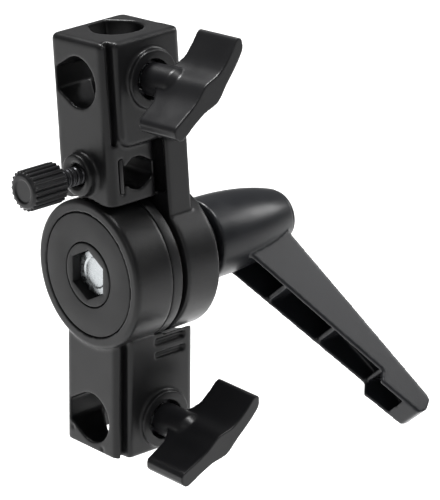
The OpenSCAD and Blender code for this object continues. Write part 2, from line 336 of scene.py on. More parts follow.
def rod(radius: float, low: float, high: float, sides: int = 96) -> Solid:
    """Return a cylinder along x.

    Args:
        radius: Its radius.
        low: Its lower end along x.
        high: Its upper end.
        sides: Facets round it.

    Returns:
        The cylinder.
    """
    turns = (math.tau * k / sides for k in range(sides))
    outline = [(radius * math.cos(a), radius * math.sin(a)) for a in turns]
    return prism(outline, low, high, Facing.SIDE)


def seat(radius: float, reach: float) -> Outline:
    """Return a socket's outline: a circle with a V seat towards negative u.

    Args:
        radius: Radius of the circle.
        reach: Distance from its centre to the V's blunt end.

    Returns:
        The outline, with its centre at the origin.
    """
    tangent, step, slope = 120, 5, math.radians(30)
    turns = [math.radians(a) for a in range(-tangent, tangent + 1, step)]
    arc = [(radius * math.cos(a), radius * math.sin(a)) for a in turns]
    start_u, start_v = arc[-1]
    half = start_v - (reach + start_u) * math.tan(slope)
    return arc + [(-reach, half), (-reach, -half)]


# ---------------------------------------------------------------- finishes


class Nodes:
    """Short-hand for building a node tree."""

    def __init__(self, tree: bpy.types.NodeTree) -> None:
        """Start on a tree."""
        self.tree = tree

    def fill(self, node: bpy.types.Node, inputs: dict[str | int, object]) -> None:
        """Join a node's inputs to the sockets given for them, or set them to the values.

        Args:
            node: The node.
            inputs: A socket or a value for each input.
        """
        for key, value in inputs.items():
            if isinstance(value, bpy.types.NodeSocket):
                self.tree.links.new(value, node.inputs[key])
            else:
                node.inputs[key].default_value = value

    def add(self, kind: str, inputs: dict[str | int, object] | None = None,
            **values: object) -> bpy.types.Node:
        """Add a node, set its own properties and fill its inputs.

        Args:
            kind: The node's type.
            inputs: A socket or a value for each input.
            **values: The node's own properties.

        Returns:
            The new node.
        """
        node = self.tree.nodes.new(kind)
        for key, value in values.items():
            setattr(node, key, value)
        self.fill(node, inputs or {})
        return node


@dataclass(frozen=True)
class Finish:
    """A surface: its colour, its gloss, its fine grain and its larger mottle.

    Attributes:
        name: Name of the material.
        colour: Base colour, linear.
        roughness: Lowest and highest roughness.
        metal: 1 for bare metal, 0 for the rest.
        grain: Size of the fine grain, in millimetres.
        relief: Depth of the grain, in millimetres.
        mottle: Size of the larger, faint changes of gloss and tone, in millimetres.
        tone: How far the tone varies, from 0 to 1.
        stretch: How much longer the grain is around the tilt axis, for turned metal.
        specular: Strength of the mirror part, where 0.5 is plain plastic.
    """

    name: str
    colour: tuple[float, float, float]
    roughness: tuple[float, float]
    metal: float = 0.0
    grain: float = 0.3
    relief: float = 0.01
    mottle: float = 9.0
    tone: float = 0.25
    stretch: float = 1.0
    specular: float = 0.26

    def material(self) -> bpy.types.Material:
        """Return the finish's material, made once.

        Returns:
            The material.
        """
        made = bpy.data.materials.get(self.name)
        if made:
            return made
        made = bpy.data.materials.new(self.name)
        made.use_nodes = True
        made.diffuse_color = (*self.colour, 1)
        nodes = Nodes(made.node_tree)
        where = nodes.add("ShaderNodeTexCoord")
        scaled = nodes.add("ShaderNodeMapping", {
            "Scale": (1, self.stretch, 1), "Vector": where.outputs["Object"]})
        grain = self._noise(nodes, scaled, self.grain, 3)
        mottle = self._noise(nodes, scaled, self.mottle, 4)
        bump = nodes.add("ShaderNodeBump", {
            "Strength": 1.0, "Distance": self.relief * MM, "Height": grain})
        nodes.fill(made.node_tree.nodes["Principled BSDF"], {
            "Metallic": self.metal,
            "IOR": 1.5,
            "Specular IOR Level": self.specular,
            "Roughness": self._gloss(nodes, mottle),
            "Base Color": self._tint(nodes, mottle),
            "Normal": bump.outputs["Normal"],
        })
        return made

    def _noise(
        self, nodes: Nodes, scaled: bpy.types.Node, size: float, detail: int
    ) -> bpy.types.NodeSocket:
        """Return a noise whose features have a size in millimetres.

        Args:
            nodes: The material's nodes.
            scaled: The node that maps the coordinates.
            size: Size of the features, in millimetres.
            detail: How many finer layers it has.

        Returns:
            The noise's output.
        """
        noise = nodes.add("ShaderNodeTexNoise", {
            "Scale": 1 / (size * MM), "Detail": detail, "Vector": scaled.outputs["Vector"]})
        return noise.outputs["Fac"]

    def _gloss(self, nodes: Nodes, noise: bpy.types.NodeSocket) -> bpy.types.NodeSocket:
        """Return the roughness, which follows a noise's usual range.

        Args:
            nodes: The material's nodes.
            noise: The noise that the roughness follows.

        Returns:
            The roughness.
        """
        low, high = self.roughness
        ramp = nodes.add("ShaderNodeMapRange", {
            "From Min": 0.3, "From Max": 0.7, "To Min": low, "To Max": high, "Value": noise})
        return ramp.outputs["Result"]

    def _tint(self, nodes: Nodes, noise: bpy.types.NodeSocket) -> bpy.types.NodeSocket:
        """Return the base colour, varied a little with a noise.

        Args:
            nodes: The material's nodes.
            noise: The noise that the tone follows.

        Returns:
            The colour.
        """
        mix = nodes.add("ShaderNodeMix", {"Factor": noise}, data_type="RGBA")
        dark = tuple(c * (1 - self.tone / 2) for c in self.colour)
        light = tuple(min(c * (1 + self.tone / 2), 1) for c in self.colour)
        colours = [s for s in mix.inputs if s.type == "RGBA"]
        colours[0].default_value, colours[1].default_value = (*dark, 1), (*light, 1)
        return next(s for s in mix.outputs if s.type == "RGBA")


BODY_PLASTIC = Finish("moulded_body", (0.0055, 0.0055, 0.006), (0.3, 0.42), relief=0.03)
COVER_PLASTIC = Finish("moulded_cover", (0.0055, 0.0055, 0.006), (0.36, 0.48), relief=0.032)
KNOB_PLASTIC = Finish("moulded_knob", (0.006, 0.006, 0.0068), (0.28, 0.38), relief=0.022)
LEVER_PLASTIC = Finish("moulded_lever", (0.007, 0.0075, 0.009), (0.28, 0.38), relief=0.018)
SHOE_PLASTIC = Finish("moulded_shoe", (0.05, 0.05, 0.05), (0.5, 0.6))
LINING = Finish("pressed_lining", (0.03, 0.027, 0.024), (0.8, 0.95), grain=0.5, relief=0.04)
ZINC = Finish(
    "bright_zinc", (0.4, 0.42, 0.43), (0.12, 0.38), metal=1, relief=0.02, mottle=1.5, tone=0.8
)
ZINC_TURNED = Finish(
    "turned_zinc", (0.66, 0.67, 0.68), (0.25, 0.4), metal=1, relief=0.006, stretch=0.12
)
DARK_STEEL = Finish("blackened_steel", (0.035, 0.035, 0.038), (0.3, 0.42), metal=0.6, relief=0.006)
BRASS = Finish("plain_brass", (0.62, 0.45, 0.2), (0.25, 0.4), metal=1, relief=0.004)


# ---------------------------------------------------------------- placing


class Place:
    """Where drawings go in the shared frame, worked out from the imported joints."""

    def __init__(self, joints: list[dict]) -> None:
        """Read the tilt axis, the drum's face and the upper half's lean.

        Args:
            joints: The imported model's joints.
        """
        named = {joint["name"]: joint for joint in joints}
        self.pivot = Vector(named["tilt"]["pos_m"])
        screw_axis = named["upper_clamp_travel"]["axis"]
        self.lean = math.atan2(-screw_axis[2], -screw_axis[0])
        self.lower = Matrix.Translation(self.pivot) @ Matrix.Scale(MM, 4)
        self.upper = self.lower @ Matrix.Rotation(-self.lean, 4, "Y")


PLACE = Place(frame["joints"])


def finish_piece(
    solid: Solid,
    name: str,
    matrix: Matrix,
    finish: Finish,
    body: str,
    slot: str,
    *nodes: str,
    crease: float = 180.0,
) -> bpy.types.Object:
    """Args:
        solid: The finished solid.
        name: The piece's name.
        matrix: The placing, from the drawing's millimetres.
        finish: Its surface.
        body: The moving body that it rides on.
        slot: The record's material slot; not used.
        *nodes: The frame's nodes that it stands for.
        crease: Edges sharper than this many degrees are shaded sharp.

    Returns:
        The piece.
    """
    piece = solid.blank
    piece.name = piece.data.name = name
    piece.data.transform(matrix)
    piece.data.polygons.foreach_set("use_smooth", [True] * len(piece.data.polygons))
    if crease < 180:
        piece.data.set_sharp_from_angle(angle=math.radians(crease))
    piece.data.materials.clear()
    piece.data.materials.append(finish.material())
    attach(piece, body)
    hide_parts(*nodes)
    LOG.info("%s: %d faces", name, len(piece.data.polygons))
    return piece


# ---------------------------------------------------------------- repeats


class Repeats:
    """Geometry Nodes trees for what repeats: flutes, threads and coils."""

    @staticmethod
    def _tree(name: str, inputs: dict[str, float]) -> tuple[bpy.types.NodeTree, Nodes]:
        """Start a tree with named number inputs and one geometry output.

        Args:
            name: The tree's name.
            inputs: A first value for each named input.

        Returns:
            The tree, and its nodes.
        """
        tree = bpy.data.node_groups.new(name, "GeometryNodeTree")
        for label, value in inputs.items():
            socket = tree.interface.new_socket(label, socket_type="NodeSocketFloat")
            socket.default_value = value
        tree.interface.new_socket("Geometry", in_out="OUTPUT", socket_type="NodeSocketGeometry")
        return tree, Nodes(tree)

    @staticmethod
    def _end(nodes: Nodes, shape: bpy.types.NodeSocket, turn: float,
             start: bpy.types.NodeSocket, finish: Finish) -> None:
        """Lay a shape along depth, and end in Realize Instances and Set Material.

        Args:
            nodes: The tree's nodes.
            shape: The shape, drawn upright.
            turn: How far it is turned about x, in radians.
            start: Depth that its origin is moved to.
            finish: Its surface.
        """
        place = nodes.add("ShaderNodeCombineXYZ", {"Y": start})
        lay = nodes.add("GeometryNodeTransform", {
            "Geometry": shape, "Rotation": (turn, 0, 0), "Translation": place.outputs[0]})
        real = nodes.add("GeometryNodeRealizeInstances", {"Geometry": lay.outputs["Geometry"]})
        dress = nodes.add("GeometryNodeSetMaterial", {
            "Geometry": real.outputs["Geometry"], "Material": finish.material()})
        nodes.add("NodeGroupOutput", {"Geometry": dress.outputs["Geometry"]})

    @staticmethod
    def _run(tree: bpy.types.NodeTree, values: dict[str, float]) -> Solid:
        """Evaluate a tree once and return its mesh as a solid.

        Args:
            tree: The finished tree.
            values: The value of each named input.

        Returns:
            The mesh that it makes.
        """
        blank = add_object("blank", bpy.data.meshes.new("blank"))
        step = blank.modifiers.new(tree.name, "NODES")
        step.node_group = tree
        for item in tree.interface.items_tree:
            if item.item_type == "SOCKET" and item.in_out == "INPUT":
                step[item.identifier] = float(values[item.name])
        return Solid.adopt(blank)

    @classmethod
    def flutes(cls, radius: float, width: float, start: float, length: float, count: int,
               finish: Finish) -> Solid:
        """Return a ring of rounded ribs about the tilt axis.

        Args:
            radius: Radius of the ribs' centre lines.
            width: Width of a rib.
            start: Depth at which they start.
            length: Their length.
            count: How many there are.
            finish: Their surface.

        Returns:
            The ribs, as one solid.
        """
        values = {"Radius": radius, "Width": width, "Start": start, "Length": length,
                  "Count": count}
        tree, nodes = cls._tree("knob_flutes", values)
        given = nodes.add("NodeGroupInput").outputs
        whole = nodes.add("FunctionNodeFloatToInt", {0: given["Count"]})
        ring = nodes.add("GeometryNodeMeshCircle", {
            "Vertices": whole.outputs[0], "Radius": given["Radius"]})
        half = nodes.add("ShaderNodeMath", {0: given["Width"], 1: 0.5}, operation="MULTIPLY")
        rib = nodes.add("GeometryNodeMeshCylinder", {
            "Vertices": 10, "Radius": half.outputs[0], "Depth": given["Length"]})
        copies = nodes.add("GeometryNodeInstanceOnPoints", {
            "Points": ring.outputs["Mesh"], "Instance": rib.outputs["Mesh"]})
        middle = nodes.add("ShaderNodeMath", {0: given["Length"], 1: 0.5, 2: given["Start"]},
                           operation="MULTIPLY_ADD")
        cls._end(nodes, copies.outputs["Instances"], math.pi / 2, middle.outputs[0], finish)
        return cls._run(tree, values)

    @classmethod
    def helix(cls, radius: float, pitch: float, start: float, end: float, thick: float,
              sides: int, finish: Finish) -> Solid:
        """Return a coil about the tilt axis: a thread's ridge or a spring's wire.

        Args:
            radius: Radius of the coil's centre line.
            pitch: Distance between turns.
            start: Depth of its first end.
            end: Depth of its last end.
            thick: Radius of the wire or ridge.
            sides: Sides of its section; few give a thread's sharp ridge.
            finish: Its surface.

        Returns:
            The coil.
        """
        values = {"Radius": radius, "Turns": (end - start) / pitch, "Height": end - start,
                  "Start": start, "Thickness": thick, "Sides": sides}
        tree, nodes = cls._tree("helix", values)
        given = nodes.add("NodeGroupInput").outputs
        coil = nodes.add("GeometryNodeCurveSpiral", {
            "Resolution": 32, "Start Radius": given["Radius"], "End Radius": given["Radius"],
            "Rotations": given["Turns"], "Height": given["Height"]})
        whole = nodes.add("FunctionNodeFloatToInt", {0: given["Sides"]})
        section = nodes.add("GeometryNodeCurvePrimitiveCircle", {
            "Resolution": whole.outputs[0], "Radius": given["Thickness"]})
        skin = nodes.add("GeometryNodeCurveToMesh", {
            "Curve": coil.outputs["Curve"], "Profile Curve": section.outputs["Curve"],
            "Fill Caps": True})
        cls._end(nodes, skin.outputs["Mesh"], -math.pi / 2, given["Start"], finish)
        return cls._run(tree, values)


# ---------------------------------------------------------------- sub-assemblies

CELL = 0.47
"""Size of the cells of a softened moulding, in millimetres."""


@dataclass
class Block:
    """The clamp block that both halves share, with its sockets and its screw's boss.

    Attributes:
        half_width: Half its width along x, without the raised panel.
        front: Depth of its front face.
        back: Depth of its back face.
        panel: How far the panel on the +x side stands out to.
        socket_depth: Depth of the plane that the sockets and the screw lie in.
        socket: Radius of a socket.
        reach: Distance from a socket's axis to the blunt end of its V seat.
        boss: Radius of the screw's boss.
        boss_face: Where the boss ends along x.
        boss_bore: Radius of the boss's bore.
        groove: Depths between which the upright groove runs.
        groove_floor: How far out along x the groove's floor is.
        insert_seat: Where the boss's bore ends along x.
        screw_hole: Radius of the screw's hole.
        crown: Radius of the rim round the block's top.
        corner: Radius of its upright edges.
        panel_corners: Radii of the panel's front and back upright edges.
    """

    half_width: float = 12.8
    front: float = 1.25
    back: float = 31.5
    panel: float = 14.6
    socket_depth: float = 18.4
    socket: float = 8.2
    reach: float = 10.3
    boss: float = 9.4
    boss_face: float = 16.5
    boss_bore: float = 6.3
    groove: tuple[float, float] = (3.1, 4.85)
    groove_floor: float = 10.3
    insert_seat: float = 8.9
    screw_hole: float = 4.25
    crown: float = 1.9
    corner: float = 2.7
    panel_corners: tuple[float, float] = (1.2, 2.5)

    def solid(self, low: float, high: float, panel_low: float, panel_corner: float) -> Solid:
        """Return the block with its ridge, groove and panel.

        Args:
            low: Height of its lower end.
            high: Height of its upper end.
            panel_low: Height at which the panel starts.
            panel_corner: Radius of the panel's lower front corner.

        Returns:
            The block, before its sockets and holes are cut.
        """
        edge = rectangle((-self.half_width, self.front), (self.half_width, self.back),
                         self.corner)
        core = prism(edge, low - 5, high, Facing.PLAN).bevel(
            self.crown, angle=60, segments=5, clamp=False)
        plan = rectangle((0, self.groove[1]), (self.panel, self.back), 0, *self.panel_corners, 0)
        side = rectangle((self.groove[1], panel_low), (self.back, high), panel_corner, 0, 0, 0)
        panel = prism(plan, panel_low, high, Facing.PLAN)
        panel.combine(Join.KEEP, prism(side, 5, self.panel + 1, Facing.SIDE))
        panel.bevel(self.crown * 0.75, angle=60, segments=4, clamp=False)
        core.combine(Join.ADD, panel)
        everything = rectangle((-30, -10), (30, 50), 0)
        core.combine(Join.KEEP, prism(everything, low, high + 1, Facing.PLAN))
        groove = rectangle((self.groove_floor, self.groove[0]), (self.panel + 1, self.groove[1]),
                           0.6, 0, 0, 0.6)
        return core.combine(Join.CUT, prism(groove, low - 6, high + 1, Facing.PLAN))

    def boss_solid(self, height: float) -> Solid:
        """Return the round boss of the clamping screw."""
        return rod(self.boss, self.half_width - 1, self.boss_face).shift(
            depth=self.socket_depth, z=height)

    def cross_socket(self, height: float) -> Solid:
        """Return the cutter of the socket that runs along the tilt axis."""
        outline = [(u, v + height) for u, v in seat(self.socket, self.reach)]
        return prism(outline, self.front - 2, self.back + 2, Facing.FRONT)

    def end_socket(self, low: float, high: float) -> Solid:
        """Return the cutter of the upright socket."""
        outline = [(u, v + self.socket_depth) for u, v in seat(self.socket, self.reach)]
        return prism(outline, low, high, Facing.PLAN)

    def screw_holes(self, height: float) -> list[Solid]:
        """Return the cutters of the screw's hole and of the boss's bore.

        Args:
            height: Height of the screw.

        Returns:
            The two cutters.
        """
        hole = rod(self.screw_hole, 2, self.insert_seat + 0.5)
        bore = rod(self.boss_bore, self.insert_seat, self.boss_face + 2)
        return [part.shift(depth=self.socket_depth, z=height) for part in (hole, bore)]


@dataclass
class LowerHalf:
    """The lower block with the front drum, its cover and the pivot bolt.

    Attributes:
        block: Its clamp block.
        bottom: Height of its lower end.
        top: Height of its upper end, inside the drum.
        cross_height: Height of the cross socket and the screw.
        socket_end: Height that the upright socket reaches.
        drum: Radius of the drum.
        drum_end: Depth at which the drum ends and its ring starts.
        ring_end: Depth at which the ring ends and the lining starts.
        lining: Radius of the lining.
        lining_end: Depth at which it ends.
        bore: Radius of the ring's and the lining's bore.
        cover: Radius of the cover's recess.
        cover_front: How far the cover sits behind the drum's face.
        cover_end: Depth of the recess.
        keeper: Radius of the recess for the boss that holds the bolt's head.
        head_flats: Width of the bolt's head across its flats.
        head: Depths between which the head runs.
        shank: Radius of the bolt's shank.
        shank_end: Depth at which it ends.
        groove_heights: Heights of the level grooves in the panel.
        groove: Depths between which they run.
        groove_half: Half their width.
        dimples: Where the front face's dimples are, across and up.
    """

    block: Block = field(default_factory=Block)
    bottom: float = -59.6
    top: float = -14.0
    cross_height: float = -48.8
    socket_end: float = -28.0
    drum: float = 24.2
    drum_end: float = 14.7
    ring_end: float = 18.45
    lining: float = 21.5
    lining_end: float = 20.75
    bore: float = 5.0
    cover: float = 20.3
    cover_front: float = 0.12
    cover_end: float = 2.4
    keeper: float = 10.5
    head_flats: float = 14.29
    head: tuple[float, float] = (3.0, 9.0)
    shank: float = 4.76
    shank_end: float = 48.5
    groove_heights: tuple[float, float] = (-22.5, -27.0)
    groove: tuple[float, float] = (15.3, 27.6)
    groove_half: float = 1.15
    dimples: tuple[tuple[float, float], ...] = ((-9.1, -54.8), (5.2, -58))

    def build(self) -> None:
        """Build and place every piece of the lower half."""
        self._body()
        self._cover()
        self._keeper()
        self._bolt()
        ring = turned(self.drum, self.drum_end + 0.03, self.ring_end, edge=0.45, bore=self.bore)
        finish_piece(ring, "drum_ring", PLACE.lower, BODY_PLASTIC, "lower", "black_plastic",
                     "friction_ring", crease=40)
        lining = turned(self.lining, self.ring_end, self.lining_end, edge=0.2, bore=self.bore)
        finish_piece(lining, "brake_lining", PLACE.lower, LINING, "lower", "lining",
                     "friction_disc", crease=40)

    def _body(self) -> None:
        """Build the moulded block and drum."""
        block = self.block
        body = block.solid(self.bottom, self.top, self.bottom, 1.0)
        body.combine(Join.ADD, block.boss_solid(self.cross_height))
        body.combine(Join.CUT, turned(self.drum + 0.7, self.ring_end, block.back + 2),
                     turned(self.drum + 0.05, self.drum_end - 1, self.ring_end + 0.1))
        drum = lathe(rectangle((0, 0), (self.drum, self.drum_end), 0, 1.4, 0.4, 0))
        body.combine(Join.ADD, drum)
        grooves = [self._panel_groove(height) for height in self.groove_heights]
        dimples = [turned(0.9, 0.4, 1.75).shift(x=x, z=z) for x, z in self.dimples]
        body.combine(
            Join.CUT,
            turned(self.cover, -2, self.cover_end),
            turned(self.keeper, 1, self.head[1] + 1.3),
            turned(self.shank + 0.14, 8, 20),
            block.cross_socket(self.cross_height),
            *block.screw_holes(self.cross_height),
            *grooves,
            *dimples,
        )
        body.combine(Join.CUT, block.end_socket(self.bottom - 2, self.socket_end))
        finish_piece(body.soften(CELL, passes=5), "lower_block", PLACE.lower, BODY_PLASTIC, "lower",
                     "black_plastic", "lower_body")

    def _panel_groove(self, height: float) -> Solid:
        """Return the cutter of one level groove in the panel's back part.

        Args:
            height: Height of the groove's middle.

        Returns:
            The cutter.
        """
        outline = rectangle((self.groove[0], height - self.groove_half),
                            (self.groove[1], height + self.groove_half), 0.3, 1.1, 1.1, 0.3)
        return prism(outline, self.block.panel - 1.3, self.block.panel + 3, Facing.SIDE)

    def _cover(self) -> None:
        """Build the round cover that closes the drum."""
        profile = rectangle((self.keeper + 0.15, self.cover_front),
                            (self.cover - 0.18, self.cover_end), 0.35, 0.45, 0, 0, steps=5)
        finish_piece(lathe(profile), "round_cover", PLACE.lower, COVER_PLASTIC, "lower",
                     "black_plastic", "drum_cover", crease=40)

    def _hexagon(self, flats: float) -> Outline:
        """Return a hexagon with two corners up and down.

        Args:
            flats: Width across its flats.

        Returns:
            The outline, round the tilt axis.
        """
        corner = flats / 2 / math.cos(math.radians(30))
        return [(corner * math.sin(math.radians(a)), corner * math.cos(math.radians(a)))
                for a in range(0, 360, 60)]

    def _keeper(self) -> None:
        """Build the boss whose pocket stops the bolt turning."""
        boss = turned(self.keeper - 0.12, 0.0, self.head[1], edge=0.45)
        play = 0.31
        pocket = prism(self._hexagon(self.head_flats + play), -1, self.head[1] + 1, Facing.FRONT)
        boss.combine(Join.CUT, pocket).bevel(0.28, angle=40)
        finish_piece(boss, "bolt_pocket", PLACE.lower, COVER_PLASTIC, "lower", "black_plastic",
                     "bolt_keeper", crease=50)

    def _bolt(self) -> None:
        """Build the pivot bolt with its chamfered hexagon head."""
        start, end = self.head
        head = prism(self._hexagon(self.head_flats), start, end, Facing.FRONT)
        rim, dish = self.head_flats / 2, start + 0.3
        profile = [(0, dish), (4.6, dish), (5.2, start), (rim - 0.2, start),
                   (rim + 1.3, start + 0.75), (rim + 1.3, end + 1), (0, end + 1)]
        head.combine(Join.KEEP, lathe(profile)).bevel(0.12, angle=30)
        head.combine(Join.ADD, turned(self.shank, end - 0.5, self.shank_end, edge=0.4))
        finish_piece(head, "pivot_hex_bolt", PLACE.lower, ZINC, "lower", "zinc_bolt",
                     "pivot_bolt", crease=25)


@dataclass
class UpperHalf:
    """The upper block, its umbrella part, and the leg down to the rear drum.

    Attributes:
        block: Its clamp block.
        top: Height of its upper end.
        step: Height at which the block steps in to the umbrella part.
        base: Height of the umbrella part's lower end.
        cross_height: Height of the cross socket and the screw.
        drum: Radius of the rear drum.
        drum_start: Depth at which the rear drum starts.
        drum_end: Depth at which it ends.
        drum_bore: Radius of its bore.
        front_drum_room: Radius that is cleared for the front drum.
        umbrella_back: Depth of the umbrella part's back face.
        umbrella_corner: Radius of its upright edges.
        umbrella_depth: Depth of the umbrella shaft's axis.
        umbrella_height: Height of the shaft's axis and the thumb screw's.
        umbrella: Radius of the shaft's hole.
        umbrella_reach: Distance from the shaft's axis to the blunt end of its V seat.
        leg_half: Half the leg's width.
        leg_end: Depth of the leg's back face.
        pocket_half: Half the width of the hollow in the leg's front.
        pocket_end: Depth of the hollow's floor.
        thumb_boss: Radius of the thumb screw's boss.
        thumb_face: Depth of the boss's face.
        thumb_hole: Radius of the thumb screw's hole in the moulding.
        plate_depths: Depths of the thumb plate's front and back.
        plate_ends: Where the plate ends along x.
        plate_half: Half its height.
        plate_hole: Radius of its hole.
    """

    block: Block = field(default_factory=Block)
    top: float = 76.0
    step: float = 42.0
    base: float = 23.6
    cross_height: float = 62.0
    drum: float = 24.0
    drum_start: float = 20.8
    drum_end: float = 34.2
    drum_bore: float = 5.4
    front_drum_room: float = 24.8
    umbrella_back: float = 20.2
    umbrella_corner: float = 2.6
    umbrella_depth: float = 12.3
    umbrella_height: float = 32.8
    umbrella: float = 5.2
    umbrella_reach: float = 6.6
    leg_half: float = 16.9
    leg_end: float = 29.9
    pocket_half: float = 15.2
    pocket_end: float = 23.6
    thumb_boss: float = 6.8
    thumb_face: float = -2.2
    thumb_hole: float = 3.3
    plate_depths: tuple[float, float] = (5.2, 6.8)
    plate_ends: tuple[float, float] = (-7.9, 12.75)
    plate_half: float = 5.6
    plate_hole: float = 3.05

    def build(self) -> None:
        """Build and place every fixed piece of the upper half."""
        block = self.block
        body = block.solid(self.step, self.top, self.step, 4.5)
        plan = rectangle((-block.half_width, block.front),
                         (block.half_width, self.umbrella_back), self.umbrella_corner)
        body.combine(
            Join.ADD,
            prism(plan, self.base, self.step + 1, Facing.PLAN),
            block.boss_solid(self.cross_height),
            turned(self.thumb_boss, self.thumb_face, 3, edge=0.5).shift(z=self.umbrella_height),
            self._leg(),
        )
        body.combine(Join.CUT, turned(self.front_drum_room, -1, self.drum_start - 0.5))
        body.combine(Join.ADD, turned(self.drum, self.drum_start, self.drum_end, edge=0.9))
        body.combine(
            Join.CUT,
            turned(self.drum_bore, self.drum_start - 1, self.drum_end + 1),
            self._pocket(),
            block.cross_socket(self.cross_height),
            block.end_socket(self.step + 1, self.top + 2),
            *block.screw_holes(self.cross_height),
        )
        body.combine(Join.CUT, self._umbrella_hole(), self._plate(0.12),
                     turned(self.thumb_hole, self.thumb_face - 1, 6).shift(
                         z=self.umbrella_height),
                     self._countersink())
        finish_piece(body.soften(CELL, passes=5), "upper_block", PLACE.upper, BODY_PLASTIC, "upper",
                     "black_plastic", "upper_body")
        plate = self._plate(-0.05).bevel(0.25)
        plate.combine(Join.CUT, turned(self.plate_hole, 0, 9).shift(z=self.umbrella_height))
        finish_piece(plate, "thumb_plate", PLACE.upper, BODY_PLASTIC, "upper", "black_plastic",
                     "thumb_nut_plate", crease=40)

    def _leg(self) -> Solid:
        """Return the leg, shouldered into the block above and ending inside the drum.

        Returns:
            The leg, before it is hollowed.
        """
        half, width = self.leg_half, self.block.half_width
        outline = rounded([(-half, 5), (half, 5), (half, self.step), (width, self.step + 5),
                           (-width, self.step + 5), (-half, self.step)], [0, 0, 1.5, 1, 1, 1.5])
        return prism(outline, self.drum_start, self.leg_end, Facing.FRONT)

    def _pocket(self) -> Solid:
        """Return the cutter of the hollow in the leg's front.

        Returns:
            The cutter, with the slit between block and drum.
        """
        low = self.drum + 0.6
        outline = rectangle((-self.pocket_half, low), (self.pocket_half, self.step), 1.2)
        pocket = prism(outline, self.umbrella_back, self.pocket_end, Facing.FRONT)
        slit = prism(rectangle((-20, 5), (20, self.step), 0), self.umbrella_back,
                     self.drum_start, Facing.FRONT)
        return pocket.combine(Join.ADD, slit)

    def _umbrella_hole(self) -> Solid:
        """Return the cutter of the umbrella shaft's hole and the shoe's notch.

        Returns:
            The cutter.
        """
        depth, height = self.umbrella_depth, self.umbrella_height
        outline = [(depth - u, height - v) for u, v in seat(self.umbrella, self.umbrella_reach)]
        hole = prism(outline, -18, 18, Facing.SIDE)
        notch = rectangle((6.9, height - 3.2), (depth, height + 3.2), 0.3)
        return hole.combine(Join.ADD, prism(notch, -17, 17, Facing.SIDE))

    def _plate(self, gap: float) -> Solid:
        """Return the thumb screw's plate, or its slot where gap is above zero.

        Args:
            gap: How much larger it is made on every side.

        Returns:
            The plate or its slot's cutter.
        """
        low = self.umbrella_height - self.plate_half - gap
        high = self.umbrella_height + self.plate_half + gap
        front, back = self.plate_depths
        outline = rectangle((front - gap, low), (back + gap, high), 0)
        return prism(outline, self.plate_ends[0] - gap, self.plate_ends[1] + gap, Facing.SIDE)

    def _countersink(self) -> Solid:
        """Return the cutter of the thumb boss's countersink.

        Returns:
            The cutter.
        """
        face = self.thumb_face
        profile = [(0, face - 1), (5.6, face - 1), (3.2, face + 1.5), (0, face + 1.5)]
        return lathe(profile, count=64).shift(z=self.umbrella_height)


